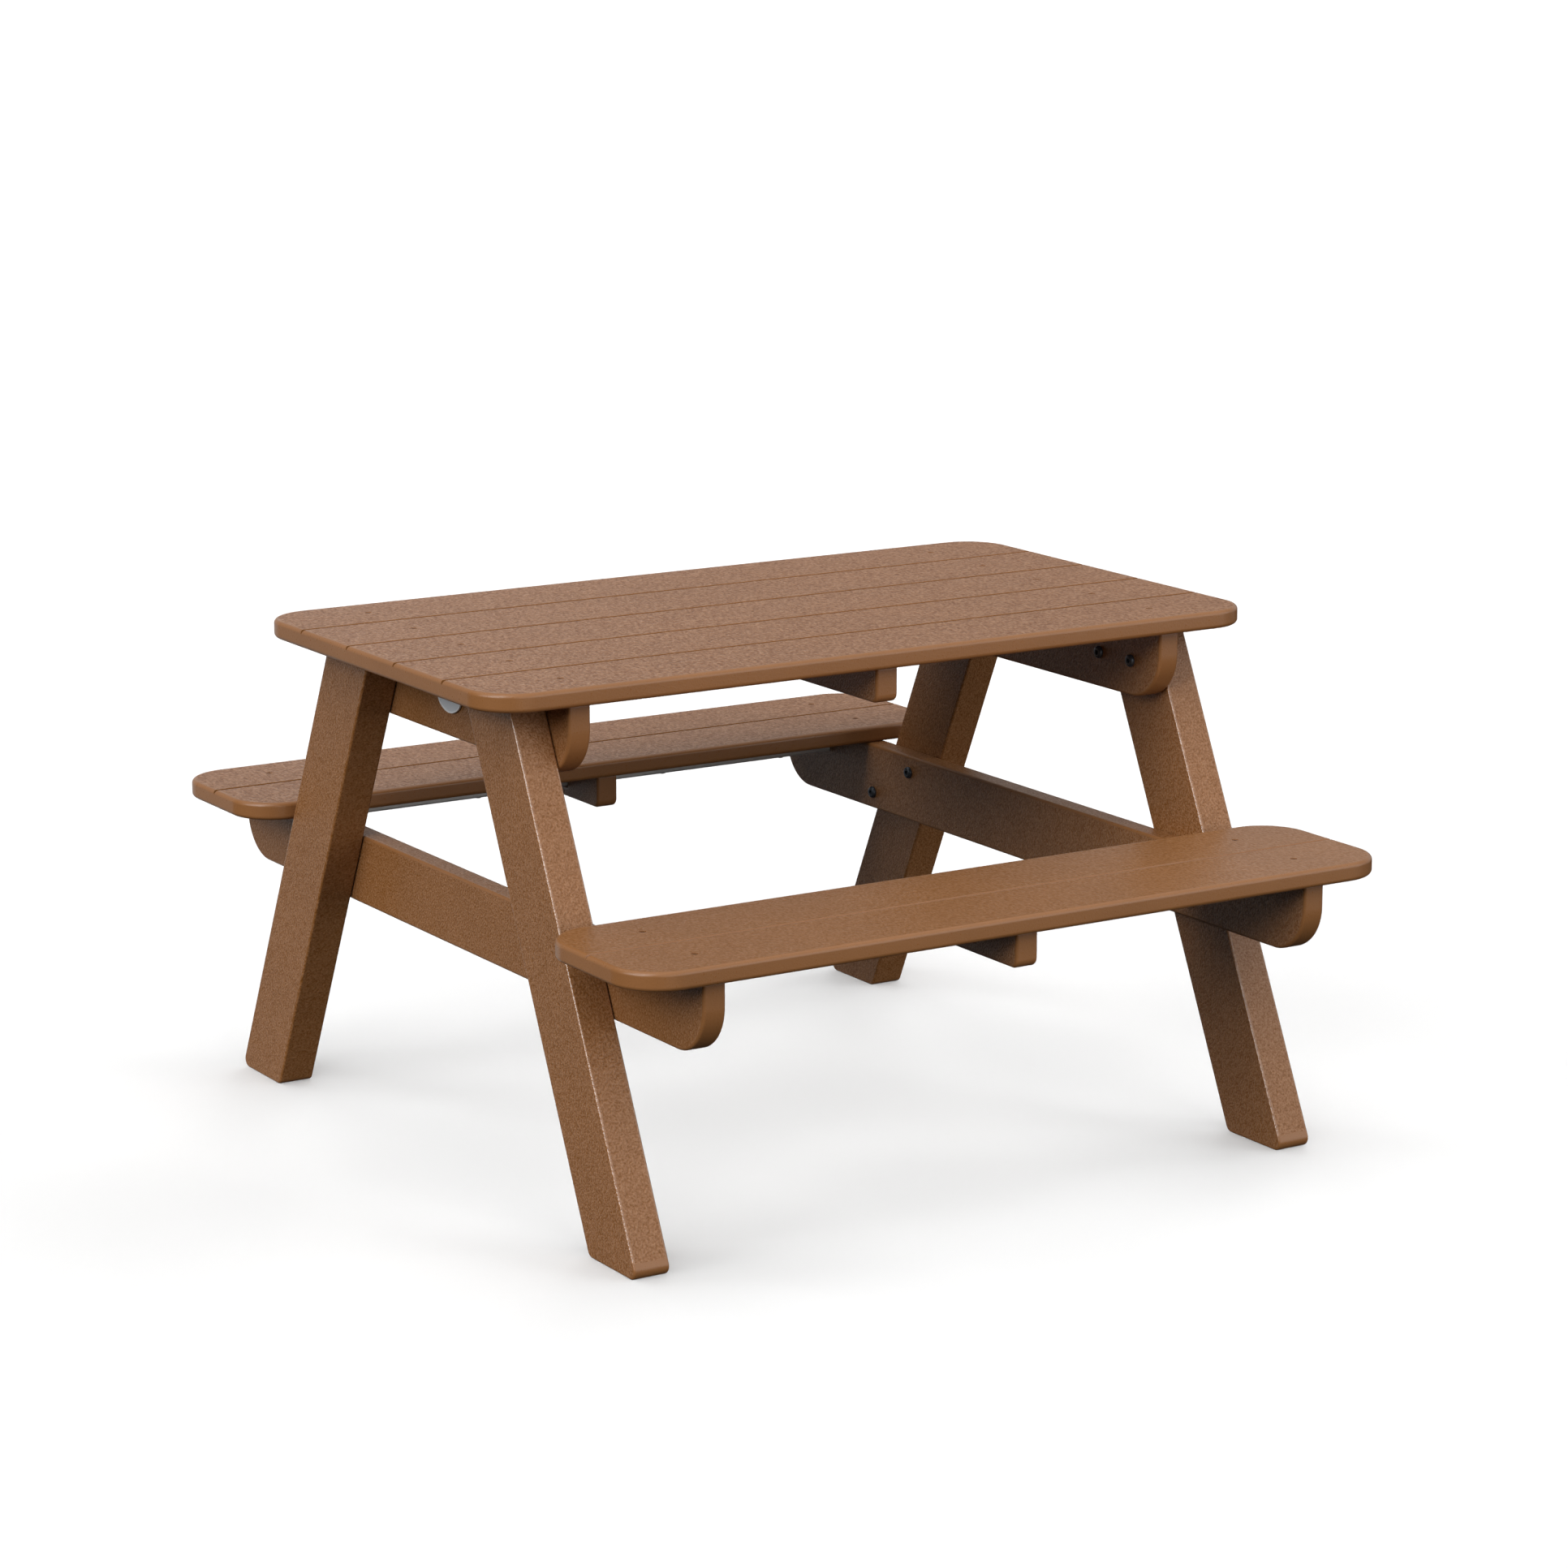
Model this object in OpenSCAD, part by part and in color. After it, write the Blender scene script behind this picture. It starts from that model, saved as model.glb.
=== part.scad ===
// Child-size A-frame picnic table in solid plastic lumber: one grooved tabletop
// panel, two grooved bench panels, four splayed legs, cross rails bolted inside
// the legs, cleats under the panels and a metal tube under each bench.
// +X runs along the tabletop, +Y across it, +Z up. The origin is on the floor
// under the middle of the table.

/* [Overall] */
// Length of the tabletop along X
top_length = 914; // [860:1:1000]
// Width of the tabletop along Y
top_width = 515; // [500:1:530]
// Height of the tabletop surface above the floor
table_height = 540; // [520:1:560]
// Height of the bench surfaces above the floor
seat_height = 321; // [310:1:330]
// Width over the outer edges of both benches
overall_width = 1012; // [1000:1:1040]

/* [Panels] */
// Thickness of the tabletop and bench panels
panel_t = 19.2; // [18:0.2:22]
// Length of each bench along X
bench_length = 887; // [840:1:960]
// Width of each bench along Y
bench_width = 193; // [180:1:200]
// Plan radius of the panel corners
corner_r = 50.8; // [40:0.1:60]
// Radius of the rounded edge around each panel
edge_r = 4.6; // [3:0.1:6]
// Number of strips that the grooves divide the tabletop into
top_strips = 5; // [3:1:6]
// Number of strips that the groove divides each bench into
bench_strips = 2; // [2:1:3]
// Width of a groove at the surface
groove_w = 3; // [2:0.1:4]
// Depth of a groove
groove_d = 4; // [3:0.1:5]

/* [Legs] */
// Width of a leg, square to its length
leg_w = 84.6; // [80:0.1:90]
// Thickness of a leg along X
leg_t = 39.2; // [38:0.1:42]
// Lean of a leg from the vertical, in degrees
leg_splay = 24.93; // [24.5:0.01:25.5]
// Distance over the outer edges of the feet along Y
foot_spread = 871; // [865:1:880]
// Setback of the legs from the ends of the tabletop
leg_inset = 51; // [45:1:60]
// Radius of the two lower corners of a leg
foot_r = 9; // [5:1:14]

/* [Rails and cleats] */
// Thickness of the cross rails along X
rail_t = 25.4; // [24:0.1:28]
// Height of the cross rails
rail_h = 75.5; // [70:0.1:80]
// Length of a top rail along Y
top_rail_length = 486; // [480:1:495]
// Length of a seat rail along Y
seat_rail_length = 986; // [970:1:995]
// Radius of the lower corners of a rail
rail_corner_r = 50; // [40:1:55]
// Thickness of the cleats along X
cleat_t = 25.4; // [24:0.1:28]
// Height of the cleats
cleat_h = 37.4; // [36:0.1:40]
// Length of the cleat under the tabletop
top_cleat_length = 488; // [470:1:495]
// Length of the cleat under a bench
bench_cleat_length = 167; // [160:1:170]
// Radius of the lower corners of a cleat
cleat_corner_r = 9; // [5:1:12]
// Radius of the long edges of legs, rails and cleats
stick_edge_r = 3; // [1:0.1:4]

/* [Bench tubes] */
// Outside size of the square tube under each bench
tube_w = 25.4; // [22:0.1:26]
// Wall of the tube
tube_wall = 1.6; // [1.2:0.1:3]
// Outside radius of the tube's corners
tube_r = 2.4; // [2:0.1:4]

/* [Badge] */
// Width of the blank oval badge on the left top rail
badge_w = 49; // [40:1:60]
// Height of the badge
badge_h = 32; // [24:1:34]
// Thickness of the badge at its raised rim
badge_t = 1.8; // [1.4:0.1:3]
// Height of the badge's middle above the bottom of the rail
badge_rise = 41.5; // [37:0.5:43]

/* [Hardware] */
// Diameter of the frame bolts
bolt_d = 8; // [6:1:8]
// Diameter of the bolt heads
bolt_head_d = 13.4; // [12:0.1:15]
// Height of the bolt heads
bolt_head_h = 4; // [3:0.1:5]
// Hex socket in the bolt heads, across flats
bolt_socket = 5; // [4:0.5:6]
// Length of a bolt under its head
bolt_length = 50; // [45:1:55]
// Outside diameter of the threaded inserts in the legs
insert_d = 12; // [11:1:14]
// Length of the threaded inserts
insert_length = 22; // [18:1:25]
// Diameter of the wood screws
screw_d = 4.2; // [3.5:0.1:5]
// Diameter of the screw heads
screw_head_d = 7; // [6:0.1:8]
// Height of the screw heads
screw_head_h = 2.6; // [2:0.1:3]
// Depth of the screw heads below the surface
screw_sink = 0.6; // [0.5:0.1:2]

/* [Hidden] */
$fn = 64;

// Colours
lumber = [0.58, 0.41, 0.29];
tube_grey = [0.62, 0.61, 0.60];
bolt_black = [0.12, 0.13, 0.15];
insert_brass = [0.72, 0.58, 0.32];
badge_silver = [0.82, 0.83, 0.85];
screw_brown = [0.42, 0.30, 0.21];

// A cutting tool reaches past the face it cuts by this much
over = 1;
// Radial room around a bolt or a screw in its hole
fit_gap = 0.05;

left = -1;
right = 1;
front = -1;
rear = 1;

// Heights
top_under = table_height - panel_t;
seat_under = seat_height - panel_t;
top_rail_z = top_under - rail_h;
seat_rail_z = seat_under - rail_h;

// Distances along X from the middle
leg_out_x = top_length / 2 - leg_inset;
leg_in_x = leg_out_x - leg_t;
rail_in_x = leg_in_x - rail_t;
rail_mid_x = leg_in_x - rail_t / 2;

// Distances along Y from the middle
bench_y = (overall_width - bench_width) / 2;
bench_cleat_y = (seat_rail_length - bench_cleat_length) / 2;
top_pitch = top_width / top_strips;
bench_pitch = bench_width / bench_strips;

// Level width of a leg, and the position of its middle line at a height
leg_level_w = leg_w / cos(leg_splay);
function leg_y(z) = foot_spread / 2 - leg_level_w / 2 - z * tan(leg_splay);

// The two bolts of each joint, as [y, z] on the +Y side. On a top rail they are
// level; on a seat rail the upper one is further in than the lower one.
top_bolt_z = top_rail_z + rail_h / 2;
top_bolt_half = 28.2;
top_bolts = [for (s = [-1, 1]) [leg_y(top_bolt_z) + s * top_bolt_half, top_bolt_z]];
seat_bolt_z = seat_rail_z + rail_h / 2;
seat_bolt_out = 37.3;
seat_bolt_up = 18.6;
seat_bolts = [for (s = [-1, 1])
    [leg_y(seat_bolt_z) + s * seat_bolt_out, seat_bolt_z - s * seat_bolt_up]];
bolt_flat_d = 8.6;
bolt_head_lip = 1;
socket_depth = 2.6;
bolt_tip_room = 5;
hole_depth = bolt_length - rail_t + bolt_tip_room;

// Screws: those from above go through a panel into the top of a rail; those
// from below go through a cleat or a tube into the underside of a panel.
panel_screw_l = 44;
cleat_screw_l = 30;
cleat_sink = 18;
tube_screw_l = 38;
panel_bite = tube_screw_l - tube_w;
top_screw_ys = [for (i = [0 : top_strips - 1]) (i - (top_strips - 1) / 2) * top_pitch];
bench_screw_ys = [for (i = [0 : bench_strips - 1])
    (i - (bench_strips - 1) / 2) * bench_pitch];
top_cleat_screw_ys = [-206, -70, 70, 206];
bench_cleat_screw_ys = [-50, 50];
tube_screw_xs = [-280, -120, 120, 280];
tube_length = 2 * rail_in_x;
cleat_bite = cleat_screw_l + cleat_sink - cleat_h;
cross_l = 4;
cross_w = 0.9;
cross_depth = 1.2;
groove_floor = 1.2;
tube_bore = tube_w - 2 * tube_wall;
badge_end_r = 11.5;
badge_rim_w = 1.6;
badge_rim_t = 0.5;

// ---- Shapes shared by the parts ----

// Outline with round corners, centred
module round_rect(size, r) {
    square([size.x - 2 * r, size.y], center = true);
    square([size.x, size.y - 2 * r], center = true);
    for (sx = [-1, 1], sy = [-1, 1])
        translate([sx * (size.x / 2 - r), sy * (size.y / 2 - r)])
            circle(r);
}

// Panel with rounded plan corners and a rounded edge all round, centred in X
// and Y with its top face at z = 0
module panel(length, width) {
    mid_l = length - 2 * corner_r;
    mid_w = width - 2 * corner_r;
    translate([0, 0, -panel_t / 2]) {
        rotate([90, 0, 90])
            linear_extrude(mid_l, center = true)
                round_rect([width, panel_t], edge_r);
        rotate([90, 0, 0])
            linear_extrude(mid_w, center = true)
                round_rect([length, panel_t], edge_r);
        for (sx = [-1, 1], sy = [-1, 1])
            translate([sx * mid_l / 2, sy * mid_w / 2])
                rotate_extrude()
                    intersection() {
                        round_rect([2 * corner_r, panel_t], edge_r);
                        translate([0, -panel_t / 2])
                            square([corner_r, panel_t]);
                    }
    }
}

// Cutter for one groove along X in a face at z = 0
module groove(length) {
    rotate([90, 0, 90])
        linear_extrude(length + 2 * over, center = true)
            polygon([
                [-groove_w / 2, 0], [-groove_w / 2, over],
                [groove_w / 2, over], [groove_w / 2, 0],
                [groove_floor / 2, -groove_d], [-groove_floor / 2, -groove_d]
            ]);
}

// Grooves between strips
module grooves(length, pitch, strips) {
    for (i = [1 : strips - 1])
        translate([0, (i - strips / 2) * pitch])
            groove(length);
}

// Stepped hole from a face at z = 0 downwards: a sunk seat and a shank hole
module screw_hole(sink, depth) {
    translate([0, 0, -sink])
        cylinder(d = screw_head_d + 2 * fit_gap, h = sink + over);
    translate([0, 0, -depth])
        cylinder(d = screw_d + 2 * fit_gap, h = depth);
}

// Screw pointing down with the top of its head at z = 0, and a cross recess
module screw(length) {
    difference() {
        union() {
            translate([0, 0, -screw_head_h])
                cylinder(d = screw_head_d, h = screw_head_h);
            translate([0, 0, -length])
                cylinder(d = screw_d, h = length - screw_head_h / 2);
        }
        for (a = [0, 90])
            rotate([0, 0, a])
                cube([cross_l, cross_w, 2 * cross_depth], center = true);
    }
}

// Blind hole upwards from a face at z = 0
module pilot_up(depth) {
    translate([0, 0, -over])
        cylinder(d = screw_d + 2 * fit_gap, h = depth + over);
}

// Board lying along Y with rounded long edges and round lower corners, centred
// in X and Y with its top at z = 0
module stick(length, height, thickness, lower_r) {
    intersection() {
        rotate([90, 0, 0])
            linear_extrude(length, center = true)
                translate([0, -height / 2])
                    round_rect([thickness, height], stick_edge_r);
        rotate([90, 0, 90])
            linear_extrude(thickness, center = true)
                lower_round_outline(length, height, lower_r);
    }
}

// Outline with square upper corners and round lower ones, top edge on y = 0
module lower_round_outline(length, height, r) {
    translate([-length / 2, -(height - r)])
        square([length, height - r]);
    translate([-length / 2 + r, -height])
        square([length - 2 * r, height]);
    for (s = [-1, 1])
        translate([s * (length / 2 - r), -height + r])
            circle(r);
}

// ---- Panels ----

module tabletop() {
    color(lumber)
        translate([0, 0, table_height])
            difference() {
                panel(top_length, top_width);
                grooves(top_length, top_pitch, top_strips);
                for (x = [-rail_mid_x, rail_mid_x], y = top_screw_ys)
                    translate([x, y])
                        screw_hole(screw_sink + screw_head_h, panel_t + over);
                for (y = top_cleat_screw_ys)
                    translate([0, y, -panel_t])
                        pilot_up(cleat_bite);
            }
}

module bench_seat(side) {
    color(lumber)
        translate([0, side * bench_y, seat_height])
            difference() {
                panel(bench_length, bench_width);
                grooves(bench_length, bench_pitch, bench_strips);
                for (x = [-rail_mid_x, rail_mid_x], y = bench_screw_ys)
                    translate([x, y])
                        screw_hole(screw_sink + screw_head_h, panel_t + over);
                for (y = bench_cleat_screw_ys)
                    translate([0, y, -panel_t])
                        pilot_up(cleat_bite);
                for (x = tube_screw_xs)
                    translate([x, 0, -panel_t])
                        pilot_up(panel_bite);
            }
}

module front_bench_seat() {
    bench_seat(front);
}

module rear_bench_seat() {
    bench_seat(rear);
}

// ---- Legs ----

// Side view of a leg on the +Y side: level at top and foot, both lower corners
// rounded. A corner's cut is the distance from it to where its round starts.
module leg_outline() {
    foot_out = foot_spread / 2;
    foot_in = foot_out - leg_level_w;
    lean = top_under * tan(leg_splay);
    out_cut = foot_r / tan((90 - leg_splay) / 2);
    in_cut = foot_r / tan((90 + leg_splay) / 2);
    up = [-sin(leg_splay), cos(leg_splay)];
    polygon([
        [foot_in + in_cut, 0],
        [foot_out - out_cut, 0],
        [foot_out, 0] + out_cut * up,
        [foot_out - lean, top_under],
        [foot_in - lean, top_under],
        [foot_in, 0] + in_cut * up
    ]);
    translate([foot_in + in_cut, foot_r])
        circle(foot_r);
    translate([foot_out - out_cut, foot_r])
        circle(foot_r);
}

// Leg with its blind holes for the threaded inserts
module leg(end, side) {
    color(lumber)
        at_corner(end, side)
            difference() {
                intersection() {
                    translate([leg_in_x, 0, 0])
                        rotate([90, 0, 90])
                            linear_extrude(leg_t)
                                leg_outline();
                    translate([leg_in_x + leg_t / 2, leg_y(0), 0])
                        rotate([leg_splay, 0, 0])
                            linear_extrude(3 * table_height, center = true)
                                round_rect([leg_t, leg_w], stick_edge_r);
                }
                for (p = concat(top_bolts, seat_bolts))
                    translate([leg_in_x - over, p[0], p[1]])
                        rotate([0, 90, 0])
                            cylinder(d = insert_d, h = hole_depth + over);
            }
}

// Puts a shape built at +X, +Y at the wanted end and side of the table
module at_corner(end, side) {
    mirror([end < 0 ? 1 : 0, 0, 0])
        mirror([0, side < 0 ? 1 : 0, 0])
            children();
}

module left_front_leg() {
    leg(left, front);
}

module left_rear_leg() {
    leg(left, rear);
}

module right_front_leg() {
    leg(right, front);
}

module right_rear_leg() {
    leg(right, rear);
}

// ---- Cross rails ----

// Clearance holes for the bolts that cross a rail, on both sides
module rail_bolt_holes(bolts) {
    for (side = [front, rear], p = bolts)
        translate([rail_in_x - over, side * p[0], p[1]])
            rotate([0, 90, 0])
                cylinder(d = bolt_d + 2 * fit_gap, h = rail_t + 2 * over);
}

module top_rail(end) {
    color(lumber)
        at_corner(end, rear)
            difference() {
                translate([rail_mid_x, 0, top_under])
                    stick(top_rail_length, rail_h, rail_t, rail_corner_r);
                rail_bolt_holes(top_bolts);
                for (y = top_screw_ys)
                    translate([rail_mid_x, y, top_under])
                        mirror([0, 0, 1])
                            pilot_up(panel_screw_l - panel_t + screw_sink + over);
            }
}

module seat_rail(end) {
    color(lumber)
        at_corner(end, rear)
            difference() {
                translate([rail_mid_x, 0, seat_under])
                    stick(seat_rail_length, rail_h, rail_t, rail_corner_r);
                rail_bolt_holes(seat_bolts);
                for (side = [front, rear], y = bench_screw_ys)
                    translate([rail_mid_x, side * bench_y + y, seat_under])
                        mirror([0, 0, 1])
                            pilot_up(panel_screw_l - panel_t + screw_sink + over);
            }
}

module left_top_rail() {
    top_rail(left);
}

module right_top_rail() {
    top_rail(right);
}

module left_seat_rail() {
    seat_rail(left);
}

module right_seat_rail() {
    seat_rail(right);
}

// ---- Cleats ----

// Holes upwards through a cleat whose top is at z = 0, each with a deep seat
module cleat_screw_holes(ys) {
    for (y = ys)
        translate([0, y, -cleat_h]) {
            translate([0, 0, -over])
                cylinder(d = screw_head_d + 2 * fit_gap, h = cleat_sink + over);
            pilot_up(cleat_h + over);
        }
}

module tabletop_cleat() {
    color(lumber)
        translate([0, 0, top_under])
            difference() {
                stick(top_cleat_length, cleat_h, cleat_t, cleat_corner_r);
                cleat_screw_holes(top_cleat_screw_ys);
            }
}

// Bench cleat with a slot in its top edge for the tube
module bench_cleat(side) {
    color(lumber)
        translate([0, side * bench_cleat_y, seat_under])
            difference() {
                stick(bench_cleat_length, cleat_h, cleat_t, cleat_corner_r);
                translate([0, side * (bench_y - bench_cleat_y), 0]) {
                    translate([-cleat_t, -tube_w / 2, -tube_w])
                        cube([2 * cleat_t, tube_w, tube_w + over]);
                    cleat_screw_holes(bench_cleat_screw_ys);
                }
            }
}

module front_bench_cleat() {
    bench_cleat(front);
}

module rear_bench_cleat() {
    bench_cleat(rear);
}

// ---- Bench tubes ----

// Square tube between the seat rails, with the screw holes through both walls
module bench_tube(side) {
    color(tube_grey)
        translate([0, side * bench_y, seat_under - tube_w / 2])
            difference() {
                rotate([90, 0, 90])
                    linear_extrude(tube_length, center = true)
                        difference() {
                            round_rect([tube_w, tube_w], tube_r);
                            round_rect([tube_bore, tube_bore], tube_r - tube_wall);
                        }
                for (x = tube_screw_xs)
                    translate([x, 0, 0])
                        cylinder(d = screw_d + 2 * fit_gap, h = 2 * tube_w, center = true);
            }
}

module front_bench_tube() {
    bench_tube(front);
}

module rear_bench_tube() {
    bench_tube(rear);
}

// ---- Badge ----

// Oval of four tangent arcs: its two end arcs have radius end_r
module oval(w, h, end_r) {
    end_x = w / 2 - end_r;
    side_r = (end_x ^ 2 + (h / 2) ^ 2 - end_r ^ 2) / (h - 2 * end_r);
    meet_x = end_x * side_r / (side_r - end_r);
    for (s = [-1, 1])
        translate([s * end_x, 0])
            circle(end_r);
    intersection() {
        square([2 * meet_x, h], center = true);
        translate([0, h / 2 - side_r])
            circle(side_r);
        translate([0, side_r - h / 2])
            circle(side_r);
    }
}

// Blank oval plate with a raised rim on the outer face of the left top rail
module badge() {
    color(badge_silver)
        translate([-leg_in_x, 0, top_rail_z + badge_rise])
            rotate([90, 0, -90])
                difference() {
                    linear_extrude(badge_t)
                        oval(badge_w, badge_h, badge_end_r);
                    translate([0, 0, badge_t - badge_rim_t])
                        linear_extrude(badge_rim_t + over)
                            oval(badge_w - 2 * badge_rim_w, badge_h - 2 * badge_rim_w,
                                 badge_end_r - badge_rim_w);
                }
}

// ---- Bolts and their inserts ----

// Button-head bolt along +X with its head's underside at the origin
module bolt() {
    rotate([0, 90, 0]) {
        difference() {
            union() {
                translate([0, 0, -bolt_head_lip])
                    cylinder(d = bolt_head_d, h = bolt_head_lip);
                translate([0, 0, -bolt_head_h])
                    cylinder(d1 = bolt_flat_d, d2 = bolt_head_d,
                             h = bolt_head_h - bolt_head_lip);
            }
            translate([0, 0, -bolt_head_h - over])
                cylinder(d = bolt_socket / cos(30), h = socket_depth + over, $fn = 6);
        }
        cylinder(d = bolt_d, h = bolt_length);
    }
}

// The four bolts of one rail
module rail_bolts(end, bolts) {
    color(bolt_black)
        at_corner(end, rear)
            for (side = [front, rear], p = bolts)
                translate([rail_in_x, side * p[0], p[1]])
                    bolt();
}

module left_top_rail_bolts() {
    rail_bolts(left, top_bolts);
}

module right_top_rail_bolts() {
    rail_bolts(right, top_bolts);
}

module left_seat_rail_bolts() {
    rail_bolts(left, seat_bolts);
}

module right_seat_rail_bolts() {
    rail_bolts(right, seat_bolts);
}

// The threaded inserts in the two legs at one end of the table
module leg_inserts(end) {
    color(insert_brass)
        at_corner(end, rear)
            for (side = [front, rear], p = concat(top_bolts, seat_bolts))
                translate([leg_in_x, side * p[0], p[1]])
                    rotate([0, 90, 0])
                        difference() {
                            cylinder(d = insert_d, h = insert_length);
                            translate([0, 0, -over])
                                cylinder(d = bolt_d + 2 * fit_gap,
                                         h = insert_length + 2 * over);
                        }
}

module left_leg_inserts() {
    leg_inserts(left);
}

module right_leg_inserts() {
    leg_inserts(right);
}

// ---- Screws ----

// Screws from the tabletop down into one top rail
module tabletop_screws(end) {
    color(screw_brown)
        for (y = top_screw_ys)
            translate([end * rail_mid_x, y, table_height - screw_sink])
                screw(panel_screw_l);
}

module left_tabletop_screws() {
    tabletop_screws(left);
}

module right_tabletop_screws() {
    tabletop_screws(right);
}

// Screws from one bench down into both seat rails
module bench_screws(side) {
    color(screw_brown)
        for (x = [-rail_mid_x, rail_mid_x], y = bench_screw_ys)
            translate([x, side * bench_y + y, seat_height - screw_sink])
                screw(panel_screw_l);
}

module front_bench_screws() {
    bench_screws(front);
}

module rear_bench_screws() {
    bench_screws(rear);
}

// Screws upwards through a cleat whose top is at the given height
module cleat_screws(y, top_z, ys) {
    color(screw_brown)
        for (dy = ys)
            translate([0, y + dy, top_z - cleat_h + cleat_sink - screw_head_h])
                mirror([0, 0, 1])
                    screw(cleat_screw_l);
}

module tabletop_cleat_screws() {
    cleat_screws(0, top_under, top_cleat_screw_ys);
}

module front_cleat_screws() {
    cleat_screws(front * bench_y, seat_under, bench_cleat_screw_ys);
}

module rear_cleat_screws() {
    cleat_screws(rear * bench_y, seat_under, bench_cleat_screw_ys);
}

// Screws upwards through a tube into the bench above it
module tube_screws(side) {
    color(screw_brown)
        for (x = tube_screw_xs)
            translate([x, side * bench_y, seat_under - tube_w - screw_head_h])
                mirror([0, 0, 1])
                    screw(tube_screw_l);
}

module front_tube_screws() {
    tube_screws(front);
}

module rear_tube_screws() {
    tube_screws(rear);
}

tabletop();
front_bench_seat();
rear_bench_seat();
left_front_leg();
left_rear_leg();
right_front_leg();
right_rear_leg();
left_top_rail();
right_top_rail();
left_seat_rail();
right_seat_rail();
tabletop_cleat();
front_bench_cleat();
rear_bench_cleat();
front_bench_tube();
rear_bench_tube();
badge();
left_leg_inserts();
right_leg_inserts();
left_top_rail_bolts();
right_top_rail_bolts();
left_seat_rail_bolts();
right_seat_rail_bolts();
left_tabletop_screws();
right_tabletop_screws();
front_bench_screws();
rear_bench_screws();
tabletop_cleat_screws();
front_cleat_screws();
rear_cleat_screws();
front_tube_screws();
rear_tube_screws();
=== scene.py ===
"""A child-size picnic table in solid plastic lumber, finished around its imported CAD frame.

Every board is built again with its routed edges, grooves and screw holes, and the bolts, screws,
tubes and badge with their small details. Metres, +X along the tabletop, +Y across it, +Z up.
"""

import math

import bmesh
import bpy
from mathutils import Matrix, Vector


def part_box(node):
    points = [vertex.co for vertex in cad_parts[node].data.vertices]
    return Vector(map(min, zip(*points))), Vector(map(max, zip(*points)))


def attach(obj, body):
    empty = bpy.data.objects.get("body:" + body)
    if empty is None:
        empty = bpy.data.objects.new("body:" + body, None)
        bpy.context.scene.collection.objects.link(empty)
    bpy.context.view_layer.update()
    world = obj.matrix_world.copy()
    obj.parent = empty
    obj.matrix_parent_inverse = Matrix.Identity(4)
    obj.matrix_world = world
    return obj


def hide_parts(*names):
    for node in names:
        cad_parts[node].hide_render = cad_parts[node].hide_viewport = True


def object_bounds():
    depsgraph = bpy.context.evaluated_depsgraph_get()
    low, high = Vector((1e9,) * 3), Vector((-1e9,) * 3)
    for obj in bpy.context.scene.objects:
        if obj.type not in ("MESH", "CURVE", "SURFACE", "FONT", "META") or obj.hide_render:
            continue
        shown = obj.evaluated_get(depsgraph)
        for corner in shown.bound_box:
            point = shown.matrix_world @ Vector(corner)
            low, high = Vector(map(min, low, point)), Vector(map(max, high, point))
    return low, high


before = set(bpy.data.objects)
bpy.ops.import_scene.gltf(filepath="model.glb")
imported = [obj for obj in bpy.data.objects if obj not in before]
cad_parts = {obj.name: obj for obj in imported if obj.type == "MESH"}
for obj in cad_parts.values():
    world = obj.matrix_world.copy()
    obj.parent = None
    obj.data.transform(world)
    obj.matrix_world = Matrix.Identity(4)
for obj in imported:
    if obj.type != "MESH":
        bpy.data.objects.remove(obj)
cad_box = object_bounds()

MM = 0.001
ENDS = {"left": -1, "right": 1}
SIDES = {"front": -1, "rear": 1}

# Panels
TOP_STRIPS = 5
BENCH_STRIPS = 2
PANEL_CORNER_R = 50.8 * MM
PANEL_EDGE_R = 4.6 * MM
GROOVE_W = 3.4 * MM
GROOVE_D = 4.0 * MM
GROOVE_FLOOR_W = 1.2 * MM
GROOVE_SHOULDER = 0.9 * MM

# Legs, rails and cleats
LEG_W = 84.6 * MM
LEG_SPLAY = math.radians(24.93)
FOOT_R = 9 * MM
FOOT_BAND_H = 17 * MM
LEG_EDGE_R = 2.3 * MM
RAIL_CORNER_R = 50 * MM
CLEAT_CORNER_R = 9 * MM
BOARD_EDGE_R = 3.1 * MM
TOP_CORNER_R = 3.5 * MM
TUBE_PLAY = 0.3 * MM
RAIL_GAP = 1 * MM

# Bench tubes
TUBE_WALL = 1.6 * MM
TUBE_R = 2.4 * MM

# Badge
BADGE_END_R = 11.5 * MM
BADGE_RIM_W = 1.6 * MM
BADGE_RIM_T = 0.5 * MM
BADGE_EDGE_R = 0.35 * MM

# Hardware
BOLT_HEAD_R = 6.7 * MM
BOLT_HEAD_H = 4 * MM
BOLT_LIP = 1 * MM
BOLT_FLAT_R = 4.3 * MM
BOLT_SHANK_R = 4 * MM
BOLT_SHANK_L = 50 * MM
BOLT_BASE_R = 0.3 * MM
SOCKET_FLATS = 5 * MM
SOCKET_D = 2.6 * MM
SOCKET_RIM_D = 0.2 * MM
SOCKET_FLARE = 1.06
TOP_BOLT_HALF = 28.2 * MM
SEAT_BOLT_OUT = 37.3 * MM
SEAT_BOLT_UP = 18.6 * MM
SCREW_R = 2.1 * MM
SCREW_HEAD_R = 3.5 * MM
SCREW_HEAD_H = 2.6 * MM
SCREW_HEAD_EDGE_R = 0.4 * MM
SCREW_TIP_R = 0.21 * MM
SCREW_TIP_L = 4 * MM
SCREW_SINK = 0.6 * MM
SCREW_HOLE_R = 3.55 * MM
SCREW_HOLE_RIM_R = 0.3 * MM
CROSS_L = 4 * MM
CROSS_W = 0.9 * MM
CROSS_D = 1.2 * MM
PANEL_SCREW_L = 44 * MM
CLEAT_SCREW_L = 30 * MM
CLEAT_SINK = 18 * MM
TUBE_SCREW_L = 38 * MM
TOP_CLEAT_SCREW_YS = [-206 * MM, -70 * MM, 70 * MM, 206 * MM]
BENCH_CLEAT_SCREW_YS = [-50 * MM, 50 * MM]
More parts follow.
